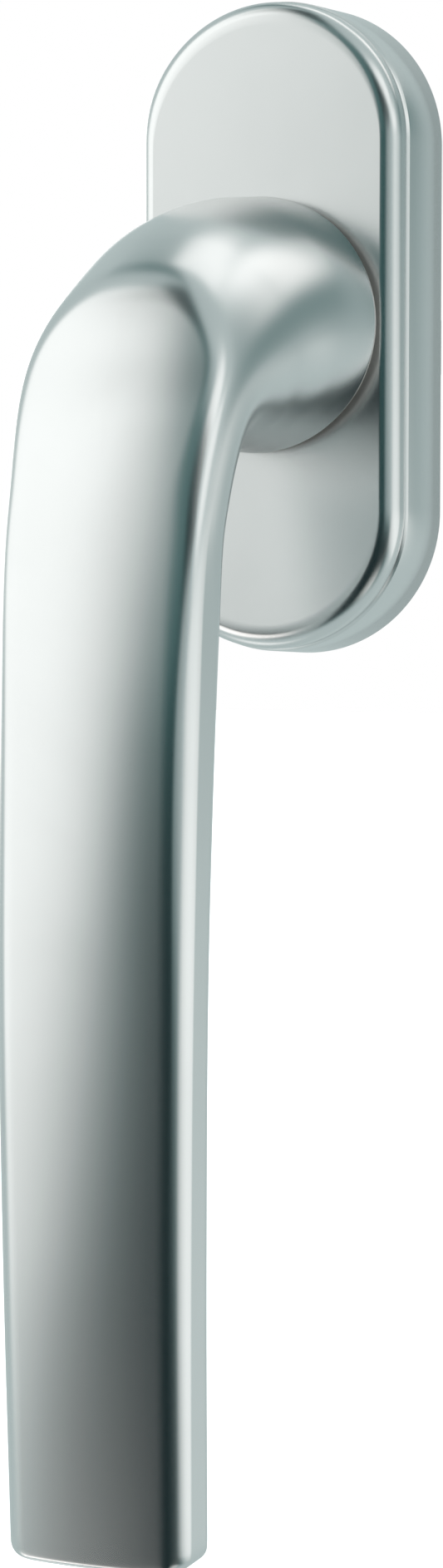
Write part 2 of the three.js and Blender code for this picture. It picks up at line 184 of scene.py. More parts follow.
def rounded_box(
    angle: Array, wide: Array, thick: Array, corner: Array, oval: Array | float = 0.0
) -> tuple[Array, Array]:
    """Outline of a box with round corners, met by rays from its middle.

    The ray at angle t runs along (wide cos t, thick sin t). It is stretched until it meets a side,
    or, where it would pass a side's straight part, until its distance from the corner's centre is
    the corner radius, which is the larger root of a quadratic. The stretch is then mixed with that
    of an ellipse, which is 1 times the ratio of how far the box and the ellipse reach in the
    direction OUTLINE_RISE above the side, so that the outline seen from there stays in place.

    Args:
        angle: Ray parameter, shaped (points,).
        wide: Half widths, shaped (rings, 1).
        thick: Half thicknesses, shaped (rings, 1).
        corner: Corner radii, shaped (rings, 1).
        oval: Share of the ellipse, shaped (rings, 1), or 0.

    Returns:
        Coordinates across and up, each shaped (rings, points).
    """
    corner = np.minimum(corner, np.minimum(wide, thick) - 0.005)
    dx, dy = wide * np.cos(angle), thick * np.sin(angle)
    ax, ay = np.abs(dx), np.abs(dy)
    flat_x, flat_y = wide - corner, thick - corner
    to_side, to_top = wide / np.maximum(ax, 1e-9), thick / np.maximum(ay, 1e-9)
    reach = np.where(to_side * ay > flat_y, to_top, to_side)
    a, b = ax**2 + ay**2, ax * flat_x + ay * flat_y
    c = flat_x**2 + flat_y**2 - corner**2
    to_corner = (b + np.sqrt(np.maximum(b**2 - a * c, 0))) / a
    at_corner = (reach * ax > flat_x) & (reach * ay > flat_y)
    reach = np.where(at_corner, to_corner, reach)
    side, rise = math.cos(OUTLINE_RISE), math.sin(OUTLINE_RISE)
    fuller = (flat_x * side + flat_y * rise + corner) / np.hypot(wide * side, thick * rise)
    reach = (1 - oval) * reach + oval * fuller
    return reach * dx, reach * dy


def smooth_run(stations: Array, steps: int) -> Array:
    """Rows that pass smoothly through the stations.

    Between stations p1 and p2 the row is the uniform Catmull-Rom cubic, which leaves p1 along half
    of p2 - p0 and reaches p2 along half of p3 - p1. End stations are mirrored outwards.

    Args:
        stations: Values shaped (stations, columns).
        steps: Number of steps over the whole run.

    Returns:
        Rows shaped (steps + 1, columns).
    """
    padded = np.vstack([2 * stations[0] - stations[1], stations, 2 * stations[-1] - stations[-2]])
    place = np.linspace(0, len(stations) - 1, steps + 1)
    span = np.minimum(place.astype(int), len(stations) - 2)
    t = (place - span)[:, None]
    p0, p1, p2, p3 = (padded[span + k] for k in range(4))
    leave, arrive = (p2 - p0) / 2, (p3 - p1) / 2
    return (
        (2 * t**3 - 3 * t**2 + 1) * p1 + (t**3 - 2 * t**2 + t) * leave
        + (3 * t**2 - 2 * t**3) * p2 + (t**3 - t**2) * arrive
    )


def box_mm(node: str) -> tuple[Array, Array]:
    """Lowest and highest corner of a frame node at rest, in millimetres."""
    low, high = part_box(node)
    return np.array(low) / MM, np.array(high) / MM


# ------------------------------------------------------------------------------------ effects
class Effect(Enum):
    """Shader node groups that several finishes share."""

    GRAIN = "fine grain"
    CLOUDS = "slow tone drift"
    STROKES = "drawn strokes"
    DUST = "settled dust"


class Wiring:
    """Short hand for placing and linking nodes in one tree."""

    def __init__(self, tree: NodeTree) -> None:
        """Keeps the tree."""
        self.tree = tree

    def add(self, kind: str, settings: dict | None = None, **links: object) -> bpy.types.Node:
        """New node with its properties set and its inputs linked or given values.

        Args:
            kind: Blender's type of the node.
            settings: Properties such as operation, or the data type.
            links: Input name, with spaces as underscores, or i0, i1 for an input by its place,
                to another socket or a value.

        Returns:
            The node.
        """
        node = self.tree.nodes.new(kind)
        for key, value in (settings or {}).items():
            setattr(node, key, value)
        for key, value in links.items():
            by_place = key[0] == "i" and key[1:].isdigit()
            socket = node.inputs[int(key[1:])] if by_place else node.inputs[key.replace("_", " ")]
            if isinstance(value, Socket):
                self.tree.links.new(value, socket)
            else:
                socket.default_value = value
        return node

    def math(self, operation: str, *values: object, clamp: bool = False) -> Socket:
        """Result socket of a Math node on up to three sockets or numbers."""
        links = {f"i{k}": value for k, value in enumerate(values)}
        settings = {"operation": operation, "use_clamp": clamp}
        return self.add("ShaderNodeMath", settings, **links).outputs[0]

    def ramp(self, value: Socket, low: float, high: float) -> Socket:
        """Value mapped smoothly from low..high to 0..1."""
        settings = {"interpolation_type": "SMOOTHSTEP"}
        node = self.add("ShaderNodeMapRange", settings, Value=value, From_Min=low, From_Max=high)
        return node.outputs[0]

    def noise(self, scale: object, vector: Socket, **more: float) -> Socket:
        """Value of a noise texture on a vector."""
        return self.add("ShaderNodeTexNoise", Scale=scale, Vector=vector, **more).outputs[0]

    def mix(self, factor: object, a: object, b: object) -> Socket:
        """Colour between a and b."""
        node = self.add("ShaderNodeMix", {"data_type": "RGBA"}, i0=factor, i6=a, i7=b)
        return node.outputs[2]


def group_shell(
    effect: Effect, inputs: dict[str, float], outputs: list[str]
) -> tuple[Wiring, bpy.types.NodeOutputs, bpy.types.NodeInputs, Socket, Socket]:
    """Node group of an effect with float inputs and outputs, of which the first input is a size in mm.

    Args:
        effect: Which effect it is.
        inputs: Socket names and their defaults.
        outputs: Names of the float outputs.

    Returns:
        The wiring, the group's inputs as given, its outputs to link to, the object coordinates, and
        the texture scale that makes one cell as large as the size.
    """
    tree = bpy.data.node_groups.new(effect.value, "ShaderNodeTree")
    for name, value in inputs.items():
        socket = tree.interface.new_socket(name, in_out="INPUT", socket_type="NodeSocketFloat")
        socket.default_value = value
    for name in outputs:
        tree.interface.new_socket(name, in_out="OUTPUT", socket_type="NodeSocketFloat")
    given, out = tree.nodes.new("NodeGroupInput").outputs, tree.nodes.new("NodeGroupOutput").inputs
    wire = Wiring(tree)
    place = wire.add("ShaderNodeTexCoord").outputs["Object"]
    return wire, given, out, place, wire.math("DIVIDE", 1 / MM, given[0])


def build_effect(effect: Effect) -> NodeTree:
    """Node group of an effect, made the first time that it is asked for."""
    made = bpy.data.node_groups.get(effect.value)
    if made is not None:
        return made
    makers = {
        Effect.GRAIN: grain_group,
        Effect.CLOUDS: clouds_group,
        Effect.STROKES: strokes_group,
        Effect.DUST: dust_group,
    }
    return makers[effect]()


def grain_group() -> NodeTree:
    """Blasted micro grain: a fine noise with a coarser one under it, as a height and as a mask."""
    inputs = {"Size mm": 0.12, "Coarse share": 0.35}
    wire, given, out, place, scale = group_shell(Effect.GRAIN, inputs, ["Height", "Mask"])
    fine = wire.noise(scale, place, Detail=2.0, Roughness=0.6)
    coarse = wire.noise(wire.math("MULTIPLY", scale, 0.31), place, Detail=1.0)
    height = wire.math("ADD", fine, wire.math("MULTIPLY", coarse, given["Coarse share"]))
    wire.tree.links.new(height, out["Height"])
    wire.tree.links.new(wire.ramp(fine, 0.35, 0.68), out["Mask"])
    return wire.tree


def clouds_group() -> NodeTree:
    """Slow drift of tone over a surface, as anodising and plating leave it."""
    wire, _, out, place, scale = group_shell(Effect.CLOUDS, {"Size mm": 14.0}, ["Mask"])
    drift = wire.noise(scale, place, Detail=3.0, Roughness=0.55, Distortion=0.4)
    wire.tree.links.new(wire.ramp(drift, 0.3, 0.7), out["Mask"])
    return wire.tree


def strokes_group() -> NodeTree:
    """Fine parallel strokes along Y, as cold drawing leaves them: noise squeezed across the stroke."""
    inputs = {"Width mm": 0.12, "Length": 40.0}
    wire, given, out, place, across = group_shell(Effect.STROKES, inputs, ["Height"])
    along = wire.math("DIVIDE", across, given["Length"])
    stretch = wire.add("ShaderNodeCombineXYZ", X=across, Y=along, Z=across).outputs[0]
    settings = {"operation": "MULTIPLY"}
    squeezed = wire.add("ShaderNodeVectorMath", settings, i0=place, i1=stretch).outputs[0]
    wire.tree.links.new(wire.noise(1.0, squeezed, Detail=3.0, Roughness=0.6), out["Height"])
    return wire.tree


def dust_group() -> NodeTree:
    """Specks of dust: small cells of a noise raised to near its peak, more of them facing up."""
    inputs = {"Size mm": 0.5, "Amount": 0.3}
    wire, given, out, place, scale = group_shell(Effect.DUST, inputs, ["Mask"])
    specks = wire.ramp(wire.noise(scale, place, Detail=5.0, Roughness=0.8), 0.6, 0.72)
    normal = wire.add("ShaderNodeNewGeometry").outputs["Normal"]
    up = wire.ramp(wire.add("ShaderNodeSeparateXYZ", Vector=normal).outputs["Z"], -0.2, 1.0)
    amount = wire.math("MULTIPLY", given["Amount"], wire.math("ADD", up, 0.25))
    wire.tree.links.new(wire.math("MULTIPLY", specks, amount, clamp=True), out["Mask"])
    return wire.tree


# ------------------------------------------------------------------------------------ finishes
class Slot(Enum):
    """Material slots of the record."""

    ANODISED = "anodised_aluminium"
    ZINC = "zinc_casting"
    PLATED = "zinc_plated_steel"
    SPRING = "spring_steel"
    BLACK = "black_acetal"
    GREY = "grey_acetal"
    NYLON = "natural_nylon"


Colour = tuple[float, float, float]
DUST_TONE: Colour = (0.62, 0.6, 0.57)
DUST_DULLING = 0.3
CLOUD_SHARE = 0.6


@dataclass(frozen=True)
class Finish:
    """Base of the finishes: a Principled surface whose tone, gloss and relief vary over it."""

    slot: Slot
    colour: Colour
    second: Colour
    roughness: float
    roughness_spread: float = 0.05
    metallic: float = 1.0
    grain_mm: float = 0.12
    relief_um: float = 4.0
    clouds_mm: float = 14.0
    dust: float = 0.05

    def material(self) -> Material:
        """Material of this finish, made once."""
        name = f"{self.slot.value}_finish"
        made = bpy.data.materials.get(name)
        if made is not None:
            return made
        made = bpy.data.materials.new(name)
        made.use_nodes = True
        made.node_tree.nodes.clear()
        wire = Wiring(made.node_tree)
        surface = wire.add("ShaderNodeBsdfPrincipled", Metallic=self.metallic)
        wire.add("ShaderNodeOutputMaterial", Surface=surface.outputs[0])
        tone, gloss = self.tone_and_gloss(wire)
        made.node_tree.links.new(tone, surface.inputs["Base Color"])
        made.node_tree.links.new(gloss, surface.inputs["Roughness"])
        depth = self.relief_um * MM / 1000
        bump = wire.add("ShaderNodeBump", Strength=1.0, Distance=depth, Height=self.relief(wire))
        made.node_tree.links.new(bump.outputs[0], surface.inputs["Normal"])
        return made

    def effect(self, wire: Wiring, effect: Effect, **values: float) -> bpy.types.Node:
        """Node of a shared effect with its own values."""
        return wire.add("ShaderNodeGroup", {"node_tree": build_effect(effect)}, **values)

    def tone_and_gloss(self, wire: Wiring) -> tuple[Socket, Socket]:
        """Colour drifting between two tones under grain and dust, and roughness that follows them."""
        clouds = self.effect(wire, Effect.CLOUDS, Size_mm=self.clouds_mm).outputs[0]
        grain = self.effect(wire, Effect.GRAIN, Size_mm=self.grain_mm).outputs["Mask"]
        dust = self.effect(wire, Effect.DUST, Amount=self.dust).outputs[0]
        clouds = wire.math("MULTIPLY", clouds, CLOUD_SHARE)
        drift = wire.math("ADD", clouds, wire.math("MULTIPLY", grain, 1 - CLOUD_SHARE))
        tone = wire.mix(drift, (*self.colour, 1), (*self.second, 1))
        tone = wire.mix(dust, tone, (*DUST_TONE, 1))
        spread = wire.math("MULTIPLY", wire.math("SUBTRACT", drift, 0.5), self.roughness_spread)
        dulling = wire.math("MULTIPLY", dust, DUST_DULLING)
        gloss = wire.math("ADD", wire.math("ADD", spread, self.roughness), dulling)
        return tone, gloss

    def relief(self, wire: Wiring) -> Socket:
        """Height of the grain."""
        return self.effect(wire, Effect.GRAIN, Size_mm=self.grain_mm).outputs["Height"]


@dataclass(frozen=True)
class DrawnFinish(Finish):
    """Finish of drawn and turned steel: strokes along the part instead of an even grain."""

    stroke_mm: float = 0.1

    def relief(self, wire: Wiring) -> Socket:
        """Height of the strokes, with a little grain in them."""
        strokes = self.effect(wire, Effect.STROKES, Width_mm=self.stroke_mm).outputs["Height"]
        grain = self.effect(wire, Effect.GRAIN, Size_mm=self.grain_mm).outputs["Height"]
        return wire.math("ADD", strokes, wire.math("MULTIPLY", grain, 0.4))


FINISHES = {
    finish.slot: finish
    for finish in (
        Finish(
            Slot.ANODISED, (0.755, 0.76, 0.757), (0.72, 0.726, 0.723), roughness=0.26,
            roughness_spread=0.015, grain_mm=0.11, relief_um=1.0, clouds_mm=22.0, dust=0.0,
        ),
        Finish(
            Slot.ZINC, (0.6, 0.62, 0.64), (0.47, 0.49, 0.51), roughness=0.46, roughness_spread=0.14,
            grain_mm=0.3, relief_um=14.0, clouds_mm=5.0, dust=0.12,
        ),
        DrawnFinish(
            Slot.PLATED, (0.66, 0.68, 0.71), (0.6, 0.6, 0.56), roughness=0.3, roughness_spread=0.12,
            grain_mm=0.16, relief_um=5.0, clouds_mm=7.0, dust=0.08, stroke_mm=0.14,
        ),
        DrawnFinish(
            Slot.SPRING, (0.4, 0.41, 0.43), (0.3, 0.3, 0.31), roughness=0.28, roughness_spread=0.1,
            grain_mm=0.1, relief_um=3.0, clouds_mm=3.0, dust=0.04, stroke_mm=0.08,
        ),
        Finish(
            Slot.BLACK, (0.03, 0.03, 0.032), (0.05, 0.05, 0.053), roughness=0.48, roughness_spread=0.1,
            metallic=0.0, grain_mm=0.2, relief_um=8.0, clouds_mm=6.0, dust=0.2,
        ),
        Finish(
            Slot.GREY, (0.8, 0.74, 0.71), (0.72, 0.67, 0.645), roughness=0.36, roughness_spread=0.08,
            metallic=0.0, grain_mm=0.15, relief_um=4.0, clouds_mm=5.0, dust=0.05,
        ),
        Finish(
            Slot.NYLON, (0.74, 0.72, 0.66), (0.66, 0.64, 0.58), roughness=0.42, roughness_spread=0.1,
            metallic=0.0, grain_mm=0.25, relief_um=6.0, clouds_mm=5.0, dust=0.1,
        ),
    )
}


def dress(piece: Object, slot: Slot) -> None:
    """Gives a piece its finish in its first material slot and in no other."""
    piece.data.materials.clear()
    piece.data.materials.append(FINISHES[slot].material())


def adopt(piece: Object, slot: Slot, node: str, body: str) -> None:
    """Dresses a fine piece, lets it stand for a frame node and ride on that node's body."""
    dress(piece, slot)
    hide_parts(node)
    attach(piece, body)
    log.info("%s stands for %s on %s, %d faces", piece.name, node, body, len(piece.data.polygons))


def keep(node: str, slot: Slot) -> None:
    """Dresses a frame node that shows as it is."""
    dress(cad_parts[node], slot)
    log.info("%s kept from the frame in %s", node, slot.value)


# ------------------------------------------------------------------------------------ grip
@dataclass
class GripCasting:
    """Grip, bend, neck and boss in one casting, swept along a path in the plane X = 0.

    Each station is y, z, lean of the path in degrees (0 along -Y, 90 along -Z), half thickness,
    half width, corner radius and how oval the section is, from 0 to 1. The face is the front line
    that the sweep is cut back to: z, y, how far it falls back 10 mm off its middle, and the width
    over which the cut is softened. It ends in an arch where it leaves the bend.
    """

    body: str = "handle"
    ring_gap: float = 0.2
    neck_radius: float = 13.1
    boss_radius: float = 7.5
    groove_radius: float = 6.7
    groove_width: float = 0.9
    groove_from_end: float = 0.7
    socket_half: float = 3.6
    socket_depth: float = 26.9
    socket_corner: float = 0.4
    socket_cone: float = 1.5
    small_edge: float = 0.3
    neck_fillet: float = 0.25
    rim_rounding: float = 0.35
    tip_rounding: float = 0.5
    tip_corner: float = 1.4
    crown: float = 1.15
    crown_flatness: float = 0.6
    steps: int = 250
    sides: int = 224
    stations: tuple[tuple[float, ...], ...] = (
        (-24.0, -0.7, 6, 12.4, 13.0, 12.2, 0.4),
        (-33.5, -3.2, 25, 10.9, 12.2, 10.4, 0.6),
        (-43.8, -8.5, 53, 8.1, 11.3, 7.4, 0.4),
        (-48.5, -18.5, 73, 5.3, 10.6, 4.0, 0.2),
        (-50.2, -30.0, 82, 4.4, 10.35, 2.8, 0.0),
        (-51.7, -60.0, 89, 3.8, 10.1, 2.4, 0.0),
        (-51.5, -90.0, 91, 3.8, 9.75, 2.3, 0.0),
        (-50.5, -119.3, 92, 3.8, 9.4, 2.2, 0.0),
    )

    face: tuple[tuple[float, float, float, float], ...] = (
        (-130.0, -54.6, 0.75, 0.5),
        (-119.3, -55.1, 0.75, 0.5),
        (-90.0, -56.1, 0.75, 0.5),
        (-60.0, -56.3, 0.75, 0.5),
        (-42.0, -55.95, 0.8, 0.6),
        (-30.0, -55.1, 0.9, 0.9),
        (-20.0, -53.6, 1.0, 1.3),
        (-12.0, -51.4, 1.1, 1.5),
        (-5.3, -48.5, 1.2, 1.6),
        (2.4, -44.8, 1.2, 1.6),
        (14.0, -37.5, 1.2, 1.6),
        (40.0, -20.0, 1.2, 1.6),
    )

    boss_end: float = field(init=False)
    neck_end: float = field(init=False)

    def __post_init__(self) -> None:
        """Takes the ends of the boss and of the neck from the frame."""
        self.boss_end = box_mm("handle_grip")[1][1]
        self.neck_end = box_mm("neck_slide_ring")[0][1] - self.ring_gap

    def rows(self) -> Array:
        """Section rows from the bottom of the socket to the tip.

        Columns are those of the stations, and how far the face is tucked in. The turned part has
        round rows about the Y axis; the sweep passes smoothly through the stations; the rim and
        the tip are quarter rounds, inset by r (1 - cos t) where they have gone r sin t along. The
        tip's width takes a larger radius than its thickness.
        """
        neck, boss = self.neck_end, self.boss_end
        groove_back = boss - self.groove_from_end
        groove_front = groove_back - self.groove_width
        half, corner = self.socket_half, self.socket_corner
        edge, fillet = self.small_edge, self.neck_fillet
        socket_rows = [
            (boss - self.socket_depth, half - self.socket_cone, corner),
            (boss - self.socket_depth, half, corner),
            (boss - edge, half, corner),
            (boss, half + edge, corner + edge),
        ]
        turned_rows = [
            (self.boss_radius - edge, boss), (self.boss_radius, boss - edge),
            (self.boss_radius, groove_back), (self.groove_radius, groove_back),
            (self.groove_radius, groove_front), (self.boss_radius, groove_front),
            (self.boss_radius, neck + fillet), (self.boss_radius + fillet, neck),
            (self.neck_radius - self.rim_rounding, neck),
        ]
        rows = [(y, 0, 0, h, h, c, 0) for y, h, c in socket_rows]
        rows += [(y, 0, 0, r, r, r, 0) for r, y in turned_rows]
        first = (neck, 0, 0, *(self.neck_radius,) * 3, 0)
        sweep = smooth_run(np.array([first, *self.stations], float), self.steps)
        turn = np.linspace(0, np.pi / 2, 7)[1:]
        rim = np.repeat(sweep[:1], len(turn), 0)
        rim[:, 3:6] -= self.rim_rounding * (1 - np.sin(turn))[:, None]
        rim[:, 0] -= self.rim_rounding * (1 - np.cos(turn))
        turn = np.linspace(0, np.pi / 2, 13)[1:]
        ahead = self.tip_corner * (1 - np.sin(turn))
        short = np.maximum(self.tip_rounding - ahead, 0)
        tuck = self.tip_rounding - np.sqrt(self.tip_rounding**2 - short**2)
        tip = np.repeat(sweep[-1:], len(turn), 0)
        lean = np.radians(sweep[-1, 2])
        tip[:, 0] += ahead * np.cos(lean)
        tip[:, 1] += ahead * np.sin(lean)
        tip[:, 3] -= tuck
        tip[:, 4] -= self.tip_corner * (1 - np.cos(turn))
        shrink = np.repeat(tip[-1:], 4, 0)
        shrink[:, 3:5] *= np.array([0.7, 0.4, 0.15, 0.02])[:, None]
        past_rim = sweep[:, 0] < neck - self.rim_rounding
        above_tip = sweep[:, 1] > sweep[-1, 1] + self.tip_corner
        rows = np.vstack([np.array(rows, float), rim, sweep[past_rim & above_tip], tip, shrink])
        tucks = np.zeros(len(rows))
        tucks[-len(tip) - len(shrink) :] = np.append(tuck, np.full(len(shrink), tuck[-1]))
        return np.column_stack([rows, tucks])

    def rings(self) -> Array:
        """Points of the sections.

        A section point (a, u) goes to x = a, y = y0 - u sin(lean), z = z0 + u cos(lean). The front
        of the grip is crowned: u grows by crown (1 - (a / wide)^2) in proportion to how flat the
        section is and only on the front half. Then no point stays in front of the face, whose y
        grows with (a / 10)^2: y becomes the larger of the two, plus a quarter of the blend times
        the square of how near they are.
        """
        rows = self.rows()
        y, z, lean, thick, wide, corner, oval, tuck = (rows[:, k : k + 1] for k in range(8))
        angle = np.linspace(0, 2 * np.pi, self.sides, endpoint=False) + np.pi / self.sides
        across, up = rounded_box(angle, wide, thick, corner, np.clip(oval, 0, 1))
        flatness = np.clip((1 - thick / wide) / self.crown_flatness, 0, 1)
        front = np.clip(up / thick, 0, 1) ** 2
        up = up + self.crown * flatness * front * (1 - oval) * (1 - (across / wide) ** 2)
        lean = np.radians(lean)
        y, z = y - up * np.sin(lean), z + up * np.cos(lean)
        line = smooth_run(np.array(self.face, float), self.steps)
        depth, crown, blend = (np.interp(z, line[:, 0], line[:, k]) for k in (1, 2, 3))
        face = depth + tuck + crown * (across / 10) ** 2
        near = np.clip(1 - np.abs(y - face) / blend, 0, 1)
        y = np.maximum(y, face) + blend / 4 * near**2
        return np.stack([across, y, z], axis=-1) * MM

    def build(self) -> None:
        """Builds the casting in place of its frame node."""
        adopt(skin("grip_casting", self.rings()), Slot.ANODISED, "handle_grip", self.body)


# ------------------------------------------------------------------------------------ rosette
@dataclass
class RosetteCover:
    """Slim cap with round ends, a hole for the bush and a rounded front edge."""

    body: str = "cover"
    wall: float = 1.3
    draft: float = 0.4
    edge_radius: float = 2.0
    edge_depth: float = 3.5
    step: float = 0.25
    crease: float = 10.0
    hole_radius: float = 10.3
    lip: float = 0.35
    per_end: int = 96
    per_side: int = 40
    face: float = field(init=False)
    half: float = field(init=False)
    centre: float = field(init=False)

    def __post_init__(self) -> None:
        """Takes the face's place, the half width and the ends' centres from the frame."""
        low, high = box_mm("rosette_cover")
        self.face = low[1]
        self.half = (high[0] - low[0]) / 2
        self.centre = (high[2] - low[2]) / 2 - self.half

    def outline(self, half: Array, offset: Array, height: Array) -> Array:
        """Slot-shaped rings about the Y axis.

        Ray angles come from the rim of the widest slot. A ray at polar angle p meets a slot of
        half width h and centre offset c either on its straight side, at h / |cos p|, or on the
        round end, where the distance from (0, c) is h. With c = 0 the ring is a circle.

        Args:
            half: Half widths, shaped (rings, 1).
            offset: Distances of the end centres from the middle, shaped (rings, 1).
            height: Y of the rings, shaped (rings, 1).

        Returns:
            Points in metres, shaped (rings, points, 3).
        """
        turn = np.linspace(0, np.pi, self.per_end, endpoint=False)
        ends = np.stack([self.half * np.cos(turn), self.centre + self.half * np.sin(turn)], -1)
        along = np.linspace(self.centre, -self.centre, self.per_side, endpoint=False)
        side = np.stack([np.full_like(along, -self.half), along], -1)
        rim = np.vstack([ends, side, -ends, -side])
        angle = np.arctan2(rim[:, 1], rim[:, 0])
        cos, sin = np.abs(np.cos(angle)), np.abs(np.sin(angle))
        straight = half / np.maximum(cos, 1e-9)
        round_end = offset * sin + np.sqrt(np.maximum(half**2 - (offset * cos) ** 2, 0))
        reach = np.where(straight * sin <= offset, straight, round_end)
        x, z = reach * np.cos(angle), reach * np.sin(angle)
        return np.stack([x, np.broadcast_to(height, x.shape), z], axis=-1) * MM

    def profile(self) -> Array:
        """Half width, centre offset and y of each ring, once round the wall of the cap.

        It goes out over the flat face, down the rounded edge, which leaves the face at a small
        crease, the narrow band and the drafted wall, round the back rim and back inside.
        """
        face, half, centre = self.face, self.half, self.centre
        edge = half - self.draft
        band = edge - self.step
        start = math.radians(self.crease)
        turn = np.linspace(start, np.pi / 2, 14)
        inset = self.edge_radius * (1 - np.sin(turn))
        depth = self.edge_radius * (np.cos(start) - np.cos(turn))
        flat = band - inset[0]
        hole, lip = self.hole_radius, self.lip
        rows = [(hole, 0.0, face + self.wall - lip), (hole, 0.0, face + lip)]
        quarter = np.linspace(0, np.pi / 2, 6)[1:]
        rows += [(hole + lip * (1 - math.cos(t)), 0.0, face + lip * (1 - math.sin(t))) for t in quarter]
        outward = np.linspace(0, 1, 24)[1:]
        rows += [(hole + lip + (flat - hole - lip) * t, centre * t, face) for t in outward]
        rows += [(band - i, centre, face + d) for i, d in zip(inset[1:], depth[1:])]
        crisp = face + self.edge_depth
        rows += [
            (band, centre, crisp - self.step - 0.05), (band + 0.05, centre, crisp - self.step),
            (edge - 0.06, centre, crisp - 0.05), (edge, centre, crisp + 0.03),
            (edge + 0.02, centre, crisp + 0.2), (half - 0.02, centre, -0.3),
            (half - 0.15, centre, -0.04), (half - 0.3, centre, 0.0),
            (half - self.wall + 0.2, centre, 0.0), (half - self.wall, centre, -0.2),
        ]
        inner, inside = edge - self.wall, face + self.wall
        flat = inner - 1.4
        rows += [(inner, centre, crisp), (inner - 0.5, centre, inside + 0.4)]
        rows += [(inner - 1.0, centre, inside), (flat, centre, inside)]
        rows += [(hole + (flat - hole) * t, centre * t, inside) for t in (0.6, 0.3, 0.0)]
        return np.array(rows, float)

    def build(self) -> None:
        """Builds the cap in place of its frame node."""
        rows = self.profile()
        rings = self.outline(rows[:, 0:1], rows[:, 1:2], rows[:, 2:3])
        cap = skin("rosette_cap", rings, endless=True, crease=30.0)
        adopt(cap, Slot.ANODISED, "rosette_cover", self.body)


# ------------------------------------------------------------------------------------ bearing
@dataclass
class NeckBearing:
    """Turned plastic parts round the boss: bush, slide ring and the cover's guide ring."""

    collar_radius: float = 9.8
    bore_radius: float = 7.6
    guide_bore: float = 10.0
    seat_radius: float = 8.6
    shoulder: float = -9.2
    fillet: float = 0.2

    def ring_profile(self, node: str, bore: float) -> Array:
        """Section of a plain ring: a box between the bore and the node's radius, corners rounded."""
        low, high = box_mm(node)
        outer = high[0]
        r = self.fillet
        corners = [(bore, low[1], r), (outer, low[1], r), (outer, high[1], r), (bore, high[1], r)]
        return filleted(corners, closed=True)

    def bush_profile(self) -> Array:
        """Section of the bush: a wide collar in front, a narrower seat behind a square shoulder."""
        low, high = box_mm("bearing_bush")
        r = self.fillet
        corners = [
            (self.bore_radius, low[1], 0.3), (self.collar_radius, low[1], 0.3),
            (self.collar_radius, self.shoulder, r), (self.seat_radius, self.shoulder, 0.1),
            (self.seat_radius, high[1], r), (self.bore_radius, high[1], r),
        ]
        return filleted(corners, closed=True)

    def build(self) -> None:
        """Builds the three rings in place of their frame nodes."""
        bush = skin("bush_moulding", turned(self.bush_profile()), endless=True)
        adopt(bush, Slot.BLACK, "bearing_bush", "rosette_base")
        rings = turned(self.ring_profile("neck_slide_ring", self.bore_radius), sides=192)
        slide = skin("slide_ring_moulding", rings, endless=True)
        adopt(slide, Slot.GREY, "neck_slide_ring", "handle")
        rings = turned(self.ring_profile("cover_guide_ring", self.guide_bore))
        guide = skin("guide_ring_moulding", rings, endless=True)
        adopt(guide, Slot.NYLON, "cover_guide_ring", "cover")


# ------------------------------------------------------------------------------------ spindle
@dataclass
class SpindleBar:
    """Square drawn bar with rounded edges and a small chamfer at each end, and its rolled pin."""

    half: float = 3.5
    edge: float = 0.45
    chamfer: float = 0.5
    pin_radius: float = 1.1
    pin_wall: float = 0.3
    pin_slot: float = 0.5
    pin_lead: float = 0.25
    pin_taper: float = 0.12

    def bar_rings(self) -> Array:
        """Square rings along Y, smaller by the chamfer at each end."""
        low, high = box_mm("square_spindle")
        c, middle = self.chamfer, np.linspace(low[1] + 1, high[1] - 1, 12)
        y = np.array([low[1], low[1] + c, *middle, high[1] - c, high[1]])
        half = np.full((len(y), 1), self.half)
        half[[0, -1]] -= c
        angle = np.linspace(0, 2 * np.pi, 96, endpoint=False)
        across, up = rounded_box(angle, half, half, np.full_like(half, self.edge))
        return np.stack([across, np.broadcast_to(y[:, None], across.shape), up], axis=-1) * MM

    def pin_rings(self) -> Array:
        """Rolled pin along X: rings are a C, out along the outer arc and back along the inner one."""
        low, high = box_mm("spindle_pin")
        middle = (low + high) / 2
        x = np.array([low[0], low[0] + self.pin_lead, high[0] - self.pin_lead, high[0]])[:, None]
        shrink = np.array([self.pin_taper, 0, 0, self.pin_taper])[:, None]
        open_half = self.pin_slot / 2 / self.pin_radius
        out = np.linspace(open_half, 2 * np.pi - open_half, 48)
        radius_out = (self.pin_radius - shrink) * np.ones_like(out)
        radius_in = (self.pin_radius - self.pin_wall) * np.ones((4, 48))
        radius = np.hstack([radius_out, radius_in])
        angle = np.hstack([out, out[::-1]])
        y = middle[1] + radius * np.cos(angle)
        z = middle[2] + radius * np.sin(angle)
        return np.stack([np.broadcast_to(x, y.shape), y, z], axis=-1) * MM

    def build(self) -> None:
        """Builds the bar and its pin in place of their frame nodes."""
        adopt(skin("spindle_bar", self.bar_rings()), Slot.PLATED, "square_spindle", "handle")
        adopt(skin("spindle_roll_pin", self.pin_rings()), Slot.SPRING, "spindle_pin", "handle")


